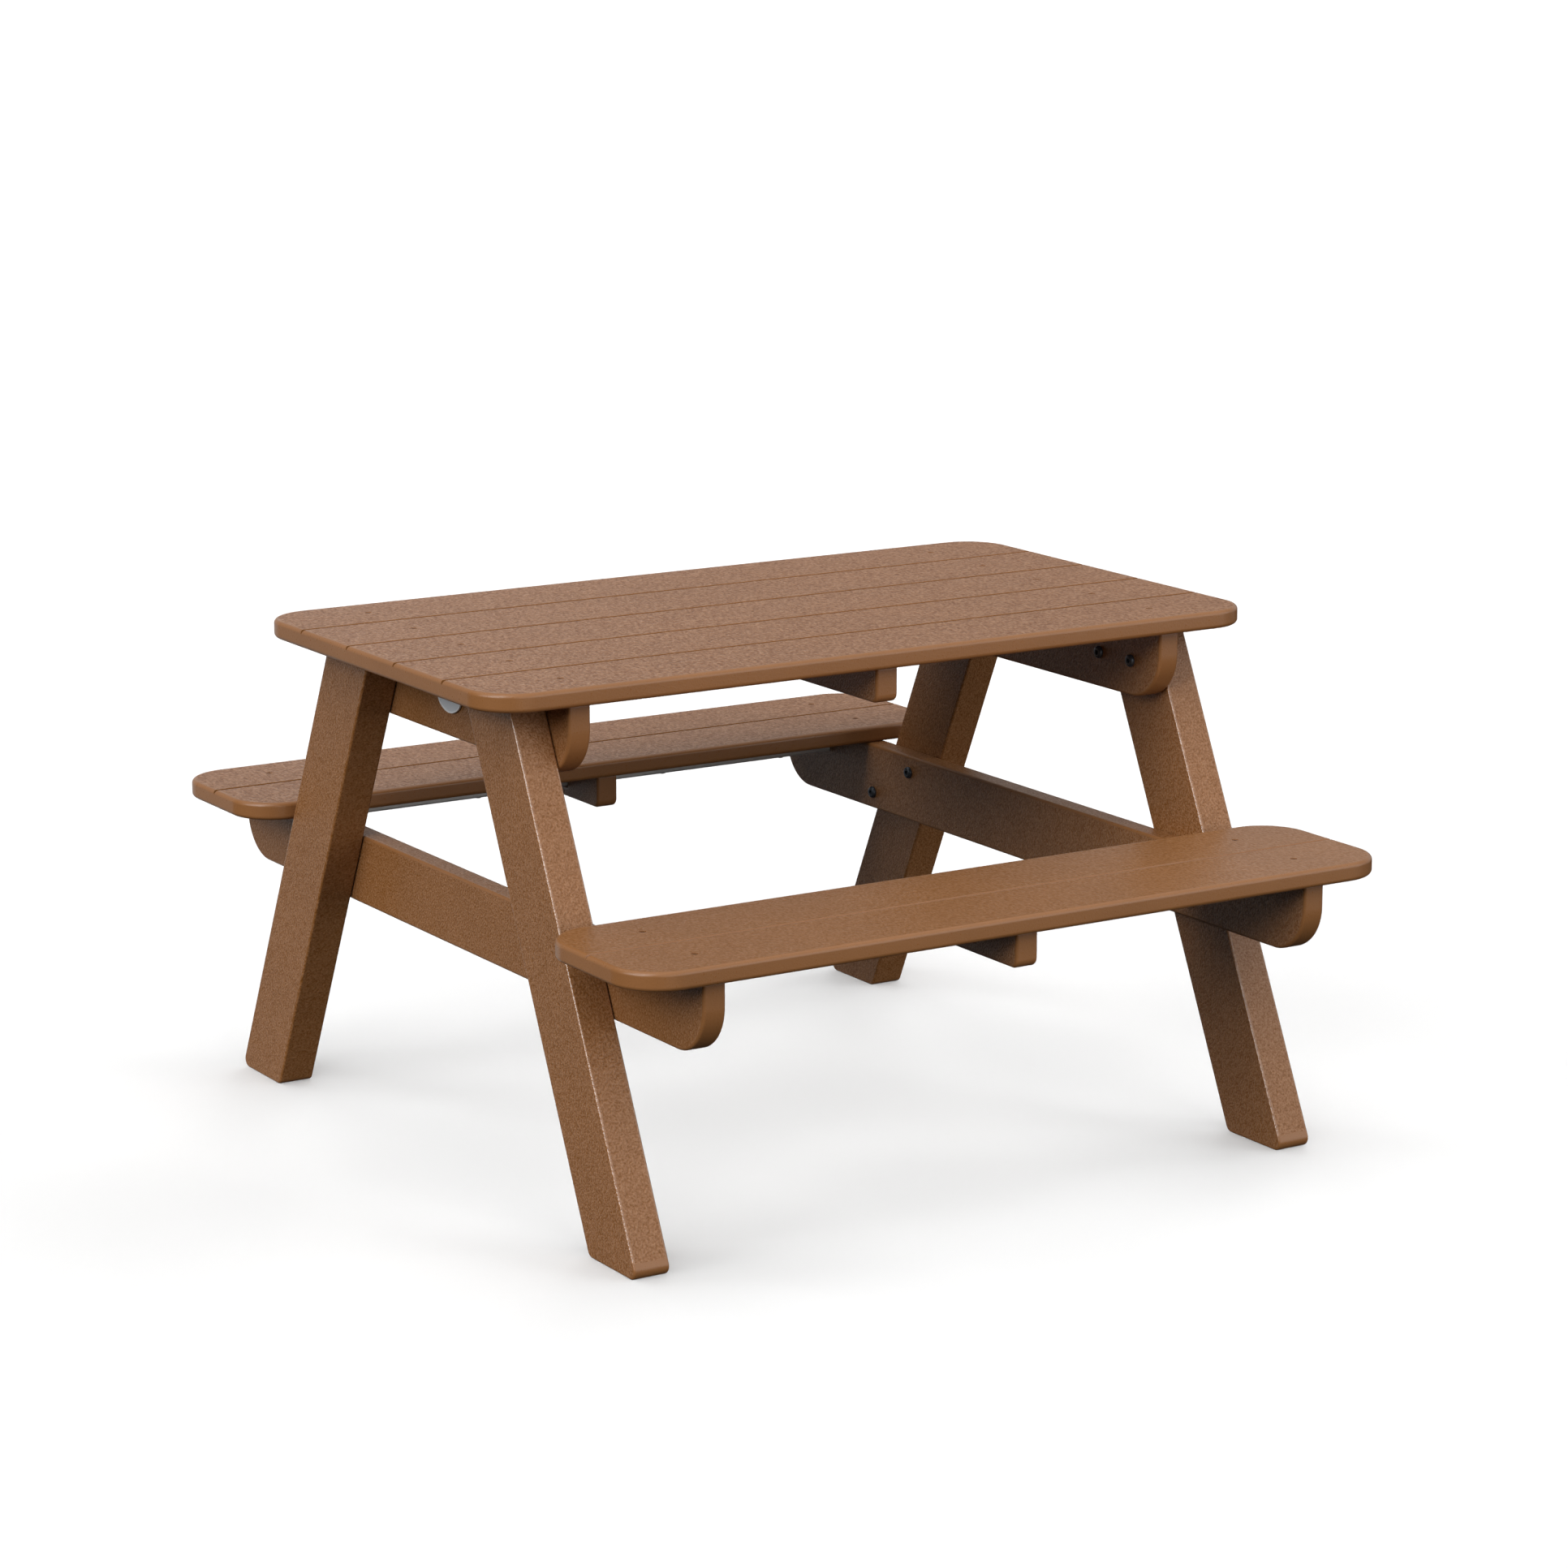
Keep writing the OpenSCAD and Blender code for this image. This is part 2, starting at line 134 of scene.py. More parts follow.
TUBE_SCREW_XS = [-280 * MM, -120 * MM, 120 * MM, 280 * MM]

# Which finish a face of a board has: the third one is for a panel's grooves, on most panels darker as
# painted shade, or for a leg's long edges, paler as a painted highlight
FACE = 0
ROUTED = 1
GROOVE = 2
LONG_EDGE = 2

# How finely the meshes are cut, and how near two points count as one
EDGE_STEPS = 8
ROUND_STEPS = 24
SHARP_ANGLE = math.radians(32)
SAME_POINT = 0.01 * MM
# Middle point of a very small round: its distance from both sides, as a share of the radius
ROUND_MIDDLE = 0.3


# ---- Outlines in a plane ----

def middle(box):
    """Middle point of a box given by its two corners."""
    return (box[0] + box[1]) / 2


def turned(vector, angle):
    """A plane vector turned counter-clockwise."""
    return Matrix.Rotation(angle, 2) @ vector


def circle(radius, steps=ROUND_STEPS):
    """Counter-clockwise outline of a circle around the origin."""
    return [turned(Vector((radius, 0)), 2 * math.pi * k / steps) for k in range(steps)]


def rounded_outline(corners):
    """Counter-clockwise outline through (x, y, radius) corners, each an arc where it has a radius."""
    outline = []
    for i, (x, y, radius) in enumerate(corners):
        corner = Vector((x, y))
        if radius == 0:
            outline.append(corner)
            continue
        back = (Vector(corners[i - 1][:2]) - corner).normalized()
        ahead = (Vector(corners[(i + 1) % len(corners)][:2]) - corner).normalized()
        half = back.angle(ahead) / 2
        centre = corner + (back + ahead).normalized() * radius / math.sin(half)
        spoke = corner + back * radius / math.tan(half) - centre
        turn = math.pi - 2 * half
        outline += [centre + turned(spoke, turn * k / ROUND_STEPS) for k in range(ROUND_STEPS + 1)]
    return outline


def inset(outline, distance):
    """The outline moved inwards, with mitred corners."""
    moved = []
    for i, point in enumerate(outline):
        ahead = (outline[(i + 1) % len(outline)] - point).normalized()
        back = (point - outline[i - 1]).normalized()
        inward = Vector((-ahead.y - back.y, ahead.x + back.x))
        moved.append(point + inward * distance / (1 + ahead.dot(back)))
    return moved


def rectangle(low, high, radius=0.0):
    """Outline of a rectangle with equal corners."""
    return rounded_outline([
        (low[0], low[1], radius), (high[0], low[1], radius),
        (high[0], high[1], radius), (low[0], high[1], radius),
    ])


# ---- Meshes ----

def new_piece(name, bm):
    """Object made from a bmesh, with all its faces turned outwards."""
    bmesh.ops.recalc_face_normals(bm, faces=bm.faces)
    mesh = bpy.data.meshes.new(name)
    bm.to_mesh(mesh)
    bm.free()
    piece = bpy.data.objects.new(name, mesh)
    bpy.context.scene.collection.objects.link(piece)
    return piece


def shade(piece):
    """Smooth shading that keeps flat faces flat beside their rounded edges."""
    piece.data.polygons.foreach_set("use_smooth", [True] * len(piece.data.polygons))
    piece.data.set_sharp_from_angle(angle=SHARP_ANGLE)
    weighted = piece.modifiers.new("weighted", "WEIGHTED_NORMAL")
    weighted.keep_sharp = True
    weighted.weight = 100


def carve(piece, cutter):
    """Cuts one object out of another and removes the cutter."""
    cut = piece.modifiers.new("cut", "BOOLEAN")
    cut.operation = "DIFFERENCE"
    cut.solver = "EXACT"
    cut.object = cutter
    graph = bpy.context.evaluated_depsgraph_get()
    carved = bpy.data.meshes.new_from_object(piece.evaluated_get(graph))
    piece.modifiers.clear()
    piece.data = carved
    bpy.data.objects.remove(cutter)


def stack(bm, rings, caps, materials):
    """Skins rings of points, one above another.

    Materials gives the finish of each face, band by band. Caps gives that of both ends, and None
    leaves an end open.
    """
    rows = [[bm.verts.new(point) for point in ring] for ring in rings]
    for row, above, finishes in zip(rows, rows[1:], materials):
        for i in range(len(row)):
            j = (i + 1) % len(row)
            face = bm.faces.new((row[i], row[j], above[j], above[i]))
            face.material_index = finishes[i]
    for row, cap in ((rows[0], caps[0]), (rows[-1], caps[1])):
        if cap is not None:
            bm.faces.new(row).material_index = cap


def slab(bm, outline, low, high, edge_r, place, long_side=None, long_edge=ROUTED):
    """Board of constant thickness with both its edges rounded.

    place(point, depth) puts a point of the outline, at a depth from low to high, into space. Sides
    longer than long_side keep the face's finish between edges of their own, and all else is routed.
    """
    quarter = [math.pi / 2 * k / EDGE_STEPS for k in range(EDGE_STEPS + 1)]
    rounding = [(edge_r * (1 - math.sin(a)), edge_r * (1 - math.cos(a))) for a in quarter]
    levels = [(step, low + depth) for step, depth in rounding]
    levels += [(step, high - depth) for step, depth in reversed(rounding)]
    rings = [[place(point, depth) for point in inset(outline, step)] for step, depth in levels]
    sides = [ROUTED] * len(outline)
    edges = list(sides)
    if long_side is not None:
        for i, point in enumerate(outline):
            if (outline[(i + 1) % len(outline)] - point).length > long_side:
                sides[i] = FACE
                edges[i] = long_edge
    materials = [sides if k == EDGE_STEPS else edges for k in range(len(levels) - 1)]
    stack(bm, rings, (FACE, FACE), materials)


def lathe(bm, profile, place, look=FACE):
    """Solid of revolution from (radius, height) points, closed by flat ends; place sets it in space."""
    rings = [[place(Vector((x, y, height))) for x, y in circle(radius)] for radius, height in profile]
    stack(bm, rings, (look, look), [[look] * ROUND_STEPS] * (len(rings) - 1))


def flat(point, height):
    """Places an outline drawn from above."""
    return Vector((point.x, point.y, height))


def upright(point, depth):
    """Places an outline drawn in the Y, Z plane; depth runs along X."""
    return Vector((depth, point.x, point.y))


# ---- Materials ----

# Sockets of a mix node that mixes colours
MIX_COLOUR_INPUTS = (0, 6, 7)
MIX_COLOUR_OUTPUT = 2

# Noise below or above these counts as lowest or highest
NOISE_LOW = 0.3
NOISE_HIGH = 0.7


class Graph:
    """A material's node tree around one Principled shader."""

    def __init__(self, name, **values):
        self.material = bpy.data.materials.new(name)
        self.material.use_nodes = True
        self.tree = self.material.node_tree
        self.shader = self.tree.nodes["Principled BSDF"]
        self.set(self.shader, values)
        self.place = self.node("ShaderNodeTexCoord").outputs["Object"]

    def feed(self, socket, value):
        """Links another socket to this one, or sets it to a plain value."""
        if isinstance(value, bpy.types.NodeSocket):
            self.tree.links.new(value, socket)
        else:
            socket.default_value = value

    def set(self, node, values):
        """Feeds a node's sockets by name, where an underscore may stand for a space."""
        for key, value in values.items():
            name = key if key in node.inputs else key.replace("_", " ")
            self.feed(node.inputs[name], value)

    def node(self, kind, settings=None, **values):
        """A new node with its settings and sockets."""
        node = self.tree.nodes.new(kind)
        for key, value in (settings or {}).items():
            setattr(node, key, value)
        self.set(node, values)
        return node

    def noise(self, size, detail=2.0, roughness=0.5, stretch=(1, 1, 1)):
        """Noise from 0 to 1 with features of about the given size in metres.

        Along an axis where stretch is below 1 they are longer.
        """
        where = self.node("ShaderNodeMapping", Vector=self.place, Scale=stretch).outputs[0]
        texture = self.node("ShaderNodeTexNoise", Vector=where, Scale=1 / size, Detail=detail,
                            Roughness=roughness)
        return texture.outputs["Fac"]

    def span(self, noise, low, high):
        """A number from low to high, as the noise goes."""
        return self.node("ShaderNodeMapRange", Value=noise, From_Min=NOISE_LOW, From_Max=NOISE_HIGH,
                         To_Min=low, To_Max=high).outputs[0]

    def colours(self, noise, low, high):
        """A blend of two colours, as the noise goes."""
        ramp = self.node("ShaderNodeValToRGB", Fac=noise)
        lowest, highest = ramp.color_ramp.elements
        lowest.position = NOISE_LOW
        lowest.color = (*low, 1)
        highest.position = NOISE_HIGH
        highest.color = (*high, 1)
        return ramp.outputs[0]

    def shaded(self, noise, colour, factors):
        """A colour with its darkest and palest shade, as the noise goes."""
        darkest, palest = factors
        return self.colours(noise, shades(colour, darkest), shades(colour, palest))

    def mix(self, share, first, second, blend="MIX"):
        """Two colours mixed."""
        node = self.node("ShaderNodeMix", {"data_type": "RGBA", "blend_type": blend})
        for index, value in zip(MIX_COLOUR_INPUTS, (share, first, second)):
            self.feed(node.inputs[index], value)
        return node.outputs[MIX_COLOUR_OUTPUT]

    def bump(self, height, depth):
        """Bump of the given depth in metres."""
        return self.node("ShaderNodeBump", Height=height, Distance=depth, Strength=1.0).outputs[0]


def shades(colour, factor):
    """A colour made darker or lighter."""
    return tuple(channel * factor for channel in colour)


# Colour of the lumber, and what one step of speckle adds to it or takes off it: the specks are partly the
# grain's own flecks and partly painted glints
LUMBER = (0.279, 0.120, 0.041)
SPECK = (0.035, 0.022, 0.0145)

# Grain of the lumber: size of its pebbles, and how far roughness swings over them
PEBBLE_SIZE = 2.4 * MM
PEBBLE_SWING = 0.05

# Slow changes of tone: their size, and the darkest as a share of the palest
TONE_SIZE = 90 * MM
DARKEST_TONE = 0.93

# Brushed metal: fine lines along X, over slow patches
LINE_SIZE = 0.6 * MM
LINE_STRETCH = (0.02, 1, 1)
LINE_DEPTH = 0.02 * MM
LINE_SHADES = (0.9, 1.08)
PATCH_SIZE = 60 * MM
PATCH_SHADES = (0.94, 1.05)

# Bolts, screws and inserts: a fine texture, over small patches
FINE_SIZE = 0.4 * MM
FINE_DEPTH = 0.015 * MM
SMALL_PATCH_SIZE = 5 * MM
SMALL_PATCH_SHADES = (0.88, 1.1)

# How far roughness goes below and above its set value, on all metal
SMOOTHER = 0.06
ROUGHER = 0.08


def lumber(name, brightness, grain, speckle, roughness, size=PEBBLE_SIZE, stretch=(1, 1, 1), **values):
    """Plastic lumber: pebbles of grain, with paler and darker specks that are partly painted glints, over
    slow changes of tone.
    """
    graph = Graph(name, IOR=1.5, **values)
    pebbles = graph.noise(size, detail=1.5, roughness=0.7, stretch=stretch)
    colour = shades(LUMBER, brightness)
    # Pale specks partly paint the grain's glints into the colour
    dark = [base - speckle * speck for base, speck in zip(colour, SPECK)]
    pale = [base + speckle * speck for base, speck in zip(colour, SPECK)]
    tone = graph.colours(graph.noise(TONE_SIZE, detail=3.0), (DARKEST_TONE,) * 3, (1, 1, 1))
    graph.set(graph.shader, {
        "Base Color": graph.mix(1.0, graph.colours(pebbles, dark, pale), tone, "MULTIPLY"),
        "Roughness": graph.span(pebbles, roughness + PEBBLE_SWING, roughness - PEBBLE_SWING),
        "Normal": graph.bump(pebbles, grain),
    })
    return graph.material


def brushed(name, colour, roughness, metallic):
    """Satin aluminium, brushed along X."""
    graph = Graph(name, Metallic=metallic)
    lines = graph.noise(LINE_SIZE, detail=3.0, stretch=LINE_STRETCH)
    line_colour = graph.shaded(lines, colour, LINE_SHADES)
    patch_colour = graph.shaded(graph.noise(PATCH_SIZE), colour, PATCH_SHADES)
    graph.set(graph.shader, {
        "Base Color": graph.mix(0.5, line_colour, patch_colour),
        "Roughness": graph.span(lines, roughness - SMOOTHER, roughness + ROUGHER),
        "Normal": graph.bump(lines, LINE_DEPTH),
    })
    return graph.material


def hardware(name, colour, roughness, metallic=0.0):
    """Metal of bolts, screws and inserts, plain or coated, with darker and paler patches."""
    graph = Graph(name, Metallic=metallic)
    texture = graph.noise(FINE_SIZE)
    graph.set(graph.shader, {
        "Base Color": graph.shaded(graph.noise(SMALL_PATCH_SIZE), colour, SMALL_PATCH_SHADES),
        "Roughness": graph.span(texture, roughness - SMOOTHER, roughness + ROUGHER),
        "Normal": graph.bump(texture, FINE_DEPTH),
    })
    return graph.material


board_face = lumber("board_face", brightness=1.03, grain=0.8 * MM, speckle=2.7, roughness=0.42,
                    size=2.1 * MM)
panel_face = lumber("panel_face", brightness=1.03, grain=1.5 * MM, speckle=3.5, roughness=0.42,
                    size=2.6 * MM, stretch=(1, 0.5, 1))
# Front bench face: the same lumber with weaker specks, as its painted glints are fainter where the tabletop
# shades it
bench_face_weak_glints = lumber("bench_face_weak_glints", brightness=1.03, grain=0.8 * MM, speckle=1.6, roughness=0.40,
                    stretch=(1, 0.5, 1))
lumber_routed = lumber("lumber_routed", brightness=1.03, grain=0.12 * MM, speckle=0.2, roughness=0.32)
# Grooves: darker colour and no gloss, painted shade of the recess
groove_painted_shade = lumber("groove_painted_shade", brightness=0.64, grain=0.05 * MM, speckle=0.2, roughness=0.5,
                       Specular_IOR_Level=0.0)
# Long edges of the legs: glossier, and paler than the faces as a painted highlight
leg_edge_painted_highlight = lumber("leg_edge_painted_highlight", brightness=1.1, grain=0.8 * MM, speckle=2.6, roughness=0.24, size=2.8 * MM,
                  Specular_IOR_Level=1.0, Coat_Weight=0.5, Coat_Roughness=0.2)
tube_metal = brushed("tube_metal", (0.62, 0.60, 0.58), roughness=0.38, metallic=0.45)
badge_plate = brushed("badge_plate", (0.72, 0.75, 0.79), roughness=0.42, metallic=0.25)
badge_rim = brushed("badge_rim", (0.92, 0.92, 0.92), roughness=0.32, metallic=0.15)
bolt_black = hardware("bolt_black", (0.075, 0.086, 0.102), roughness=0.26, metallic=0.5)
# Screw heads: a brown coating, darkened further as painted shade of their sunk holes
screw_brown = hardware("screw_brown", (0.13, 0.053, 0.019), roughness=0.45)
insert_brass = hardware("insert_brass", (0.72, 0.50, 0.20), roughness=0.30, metallic=1.0)


def finish(piece, node, slot, *materials):
    """Dresses a piece, and lets it stand for its CAD node."""
    for material in materials:
        piece.data.materials.append(material)
    shade(piece)
    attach(piece, "root")
    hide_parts(node)


# ---- Boards ----

RAIL_XS = [middle(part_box(f"{end}_top_rail")).x for end in ENDS]
TUBE_OF = {f"{side}_bench_cleat": f"{side}_bench_tube" for side in SIDES}


def strip_lines(width, strips):
    """Middle lines of a panel's strips, measured across it."""
    return [((i + 0.5) / strips - 0.5) * width for i in range(strips)]


def groove_cutter(bm, y, z, x_reach):
    """A groove along X with routed shoulders, running out past both ends of the panel."""
    half = GROOVE_W / 2 + GROOVE_SHOULDER
    wall = [
        (half, 2 * GROOVE_D), (half, 0), (half - 0.4 * GROOVE_SHOULDER, -0.5 * GROOVE_SHOULDER),
        (half - GROOVE_SHOULDER, -2 * GROOVE_SHOULDER), (GROOVE_FLOOR_W / 2, -GROOVE_D),
    ]
    profile = [(-w, h) for w, h in wall] + [(w, h) for w, h in reversed(wall)]
    rings = [[Vector((x, y + w, z + h)) for w, h in profile] for x in (-x_reach, x_reach)]
    shoulder = [ROUTED] * 2
    above = [ROUTED]
    inside = [GROOVE] * (len(profile) - 2 * len(shoulder) - len(above))
    stack(bm, rings, (GROOVE, GROOVE), [shoulder + inside + shoulder + above])


def screw_hole_cutter(bm, spot, depth, up=1):
    """A sunk screw hole with a slightly broken rim; it opens upwards or, with up at -1, downwards."""
    rim = SCREW_HOLE_RIM_R
    profile = [
        (SCREW_HOLE_R, -depth), (SCREW_HOLE_R, -rim),
        (SCREW_HOLE_R + ROUND_MIDDLE * rim, -ROUND_MIDDLE * rim),
        (SCREW_HOLE_R + rim, 0.1 * rim), (SCREW_HOLE_R + rim, 10 * rim),
    ]
    lathe(bm, profile, lambda point: spot + Vector((point.x, point.y, up * point.z)), look=ROUTED)


def panel(name, node, strips, face, groove):
    """Grooved panel with its sunk screw holes over the rails; face and groove are materials."""
    low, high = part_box(node)
    bm = bmesh.new()
    slab(bm, rectangle(low, high, PANEL_CORNER_R), low.z, high.z, PANEL_EDGE_R, flat)
    piece = new_piece(name, bm)
    cutters = bmesh.new()
    width = high.y - low.y
    centre = (low.y + high.y) / 2
    for i in range(1, strips):
        groove_cutter(cutters, centre + (i / strips - 0.5) * width, high.z, high.x + GROOVE_D)
    for x in RAIL_XS:
        for y in strip_lines(width, strips):
            screw_hole_cutter(cutters, Vector((x, centre + y, high.z)), SCREW_SINK + SCREW_HEAD_H)
    carve(piece, new_piece("cutters", cutters))
    finish(piece, node, "lumber_panel", face, lumber_routed, groove)


def foot_reach(node):
    """How far out a leg's outer edge would meet the floor, if its foot had no rounds."""
    low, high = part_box(node)
    half_corner = (math.pi / 2 - LEG_SPLAY) / 2
    return max(abs(low.y), abs(high.y)) + FOOT_R / math.tan(half_corner) - FOOT_R


def leg(name, node, side):
    """Splayed leg, level at top and foot.

    Its lower corners are rounded, with a smooth band above the outer one.
    """
    low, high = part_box(node)
    level_w = LEG_W / math.cos(LEG_SPLAY)
    lean = (high.z - low.z) * math.tan(LEG_SPLAY)
    foot_out = foot_reach(node)
    foot_in = foot_out - level_w
    corners = [
        (foot_in, low.z, FOOT_R), (foot_out, low.z, FOOT_R),
        (foot_out - FOOT_BAND_H * math.tan(LEG_SPLAY), low.z + FOOT_BAND_H, 0),
        (foot_out - lean, high.z, 0), (foot_in - lean, high.z, 0),
    ]
    if side < 0:
        corners = [(-y, z, radius) for y, z, radius in reversed(corners)]
    outline = rounded_outline(corners)
    bm = bmesh.new()
    slab(bm, outline, low.x, high.x, LEG_EDGE_R, upright, long_side=LEG_W, long_edge=LONG_EDGE)
    piece = new_piece(name, bm)
    finish(piece, node, "lumber_frame", board_face, lumber_routed, leg_edge_painted_highlight)


def rail(name, node, screw_ys=()):
    """Rail or cleat on edge along Y, with rounded lower corners.

    A rail stands just off its legs. A cleat has deep screw holes in its lower edge, at screw_ys.
    """
    low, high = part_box(node)
    lower_r = CLEAT_CORNER_R if "cleat" in node else RAIL_CORNER_R
    corners = [(low.y, low.z, lower_r), (high.y, low.z, lower_r), (high.y, high.z, TOP_CORNER_R)]
    if node in TUBE_OF:
        tube_low, tube_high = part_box(TUBE_OF[node])
        slot_low = tube_low.y - TUBE_PLAY
        slot_high = tube_high.y + TUBE_PLAY
        slot_z = tube_low.z - TUBE_PLAY
        corners += [
            (slot_high, high.z, 0), (slot_high, slot_z, 0),
            (slot_low, slot_z, 0), (slot_low, high.z, 0),
        ]
    corners.append((low.y, high.z, TOP_CORNER_R))
    if "rail" in node:
        outer = max(low, high, key=lambda corner: abs(corner.x))
        outer.x -= math.copysign(RAIL_GAP, outer.x)
    bm = bmesh.new()
    slab(bm, rounded_outline(corners), low.x, high.x, BOARD_EDGE_R, upright, long_side=RAIL_CORNER_R)
    piece = new_piece(name, bm)
    if screw_ys:
        cutters = bmesh.new()
        for y in screw_ys:
            screw_hole_cutter(cutters, Vector(((low.x + high.x) / 2, y, low.z)), CLEAT_SINK, up=-1)
        carve(piece, new_piece("cutters", cutters))
    finish(piece, node, "lumber_frame", board_face, lumber_routed)


# ---- Tubes and badge ----

def tube(name, node):
    """Hollow square tube with rounded corners."""
    low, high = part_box(node)
    outer = rectangle(low.yz, high.yz, TUBE_R)
    wall = Vector((TUBE_WALL, TUBE_WALL))
    inner = rectangle(low.yz + wall, high.yz - wall, TUBE_R - TUBE_WALL)
    around = [(outer, low.x), (outer, high.x), (inner, high.x), (inner, low.x), (outer, low.x)]
    rings = [[upright(point, x) for point in outline] for outline, x in around]
    bm = bmesh.new()
    stack(bm, rings, (None, None), [[0] * len(outer)] * (len(rings) - 1))
    bmesh.ops.remove_doubles(bm, verts=bm.verts, dist=SAME_POINT)
    piece = new_piece(name, bm)
    finish(piece, node, "tube_metal", tube_metal)


def badge(name, node):
    """Blank oval plate with a raised rim, facing -X."""
    low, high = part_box(node)
    centre = middle((low, high)).yz
    half = (high - low).yz / 2
    outline = oval(half.x, half.y, BADGE_END_R)
    soft = ROUND_MIDDLE * BADGE_EDGE_R
    steps = [
        (0, high.x, 0), (0, low.x + BADGE_EDGE_R, 0), (soft, low.x + soft, 1),
        (BADGE_EDGE_R, low.x, 1), (BADGE_RIM_W - BADGE_EDGE_R, low.x, 1),
        (BADGE_RIM_W - soft, low.x + soft, 1), (BADGE_RIM_W, low.x + BADGE_RIM_T, 1),
    ]
    rings = [[upright(point + centre, x) for point in inset(outline, step)] for step, x, _ in steps]
    bm = bmesh.new()
    stack(bm, rings, (0, 0), [[part] * len(outline) for _, _, part in steps])
    piece = new_piece(name, bm)
    finish(piece, node, "badge_metal", badge_plate, badge_rim)


def oval(half_w, half_h, end_r):
    """Counter-clockwise oval of four tangent arcs."""
    end_x = half_w - end_r
    side_r = (end_x ** 2 + half_h ** 2 - end_r ** 2) / (2 * (half_h - end_r))
    lean = math.atan2(end_x, side_r - half_h)
    arcs = [
        (Vector((end_x, 0)), end_r, -math.pi / 2 + lean, math.pi / 2 - lean),
        (Vector((0, half_h - side_r)), side_r, math.pi / 2 - lean, math.pi / 2 + lean),
        (Vector((-end_x, 0)), end_r, math.pi / 2 + lean, 3 * math.pi / 2 - lean),
        (Vector((0, side_r - half_h)), side_r, 3 * math.pi / 2 - lean, 3 * math.pi / 2 + lean),
    ]
    return [
        centre + turned(Vector((radius, 0)), start + (end - start) * k / ROUND_STEPS)
        for centre, radius, start, end in arcs
        for k in range(ROUND_STEPS)
    ]


# ---- Bolts and screws ----

def leg_y(z):
    """Distance of a leg's middle line from the middle of the table, at a height."""
    any_leg = "right_rear_leg"
    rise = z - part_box(any_leg)[0].z
    return foot_reach(any_leg) - LEG_W / math.cos(LEG_SPLAY) / 2 - rise * math.tan(LEG_SPLAY)


def bolt(bm, place):
    """Button-head bolt with a hex socket, its head rising along +Z from the origin."""
    dome_w = BOLT_HEAD_R - BOLT_FLAT_R
    dome_h = BOLT_HEAD_H - BOLT_LIP
    profile = [(BOLT_SHANK_R, -BOLT_SHANK_L), (BOLT_SHANK_R, 0), (BOLT_HEAD_R - BOLT_BASE_R, 0)]
    profile += [(BOLT_HEAD_R, BOLT_BASE_R), (BOLT_HEAD_R, BOLT_LIP)]
    for k in range(1, EDGE_STEPS + 1):
        angle = math.pi / 2 * k / EDGE_STEPS
        profile.append((BOLT_FLAT_R + dome_w * math.cos(angle), BOLT_LIP + dome_h * math.sin(angle)))
    steps = 2 * ROUND_STEPS
    rings = [
        [place(Vector((x, y, height))) for x, y in circle(radius, steps)]
        for radius, height in profile
    ]
    for scale, depth in ((SOCKET_FLARE, 0), (1.0, SOCKET_RIM_D), (1.0, SOCKET_D)):
        ring = []
        for k in range(steps):
            angle = 2 * math.pi * k / steps
            flat_angle = (angle + math.pi / 6) % (math.pi / 3) - math.pi / 6
            radius = scale * SOCKET_FLATS / 2 / math.cos(flat_angle)
            ring.append(place(Vector((*turned(Vector((radius, 0)), angle), BOLT_HEAD_H - depth))))
        rings.append(ring)
    stack(bm, rings, (0, 0), [[0] * steps] * (len(rings) - 1))


def rail_bolts(name, node, end, spots):
    """The four bolts of one rail, with their heads on its inner face."""
    low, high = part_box(node)
    face_x = min(abs(low.x), abs(high.x)) + BOLT_HEAD_H
    bm = bmesh.new()
    for side in SIDES.values():
        for y, z in spots:
            where = Vector((end * face_x, side * y, z))
            bolt(bm, lambda point: where + Vector((-end * point.z, point.x, point.y)))
    piece = new_piece(name, bm)
    finish(piece, node, "bolt_steel", bolt_black)


def cross_cutter(bm, spot):
    """A cross recess, as deep below the spot as it reaches above it."""
    long = CROSS_L / 2
    short = CROSS_W / 2
    arm = [Vector((long, -short)), Vector((long, short)), Vector((short, short))]
    outline = [turned(point, math.pi / 2 * k) for k in range(4) for point in arm]
    rings = [[spot + Vector((x, y, z)) for x, y in outline] for z in (-CROSS_D, CROSS_D)]
    stack(bm, rings, (0, 0), [[0] * len(outline)])


def screws(name, node, spots, length, way=-1):
    """Screws with cross recesses, their heads' tops at the spots; they point down or, with way at 1, up."""
    bm = bmesh.new()
    cutters = bmesh.new()
    edge = SCREW_HEAD_EDGE_R
    profile = [
        (SCREW_TIP_R, length), (SCREW_R, length - SCREW_TIP_L), (SCREW_R, SCREW_HEAD_H),
        (SCREW_HEAD_R, SCREW_HEAD_H), (SCREW_HEAD_R, edge),
        (SCREW_HEAD_R - ROUND_MIDDLE * edge, ROUND_MIDDLE * edge), (SCREW_HEAD_R - edge, 0),
    ]
    for spot in spots:
        lathe(bm, profile, lambda point: spot + Vector((point.x, point.y, way * point.z)))
        cross_cutter(cutters, spot)
    piece = new_piece(name, bm)
    carve(piece, new_piece("cutters", cutters))
    finish(piece, node, "screw_coated", screw_brown)


# ---- The table ----

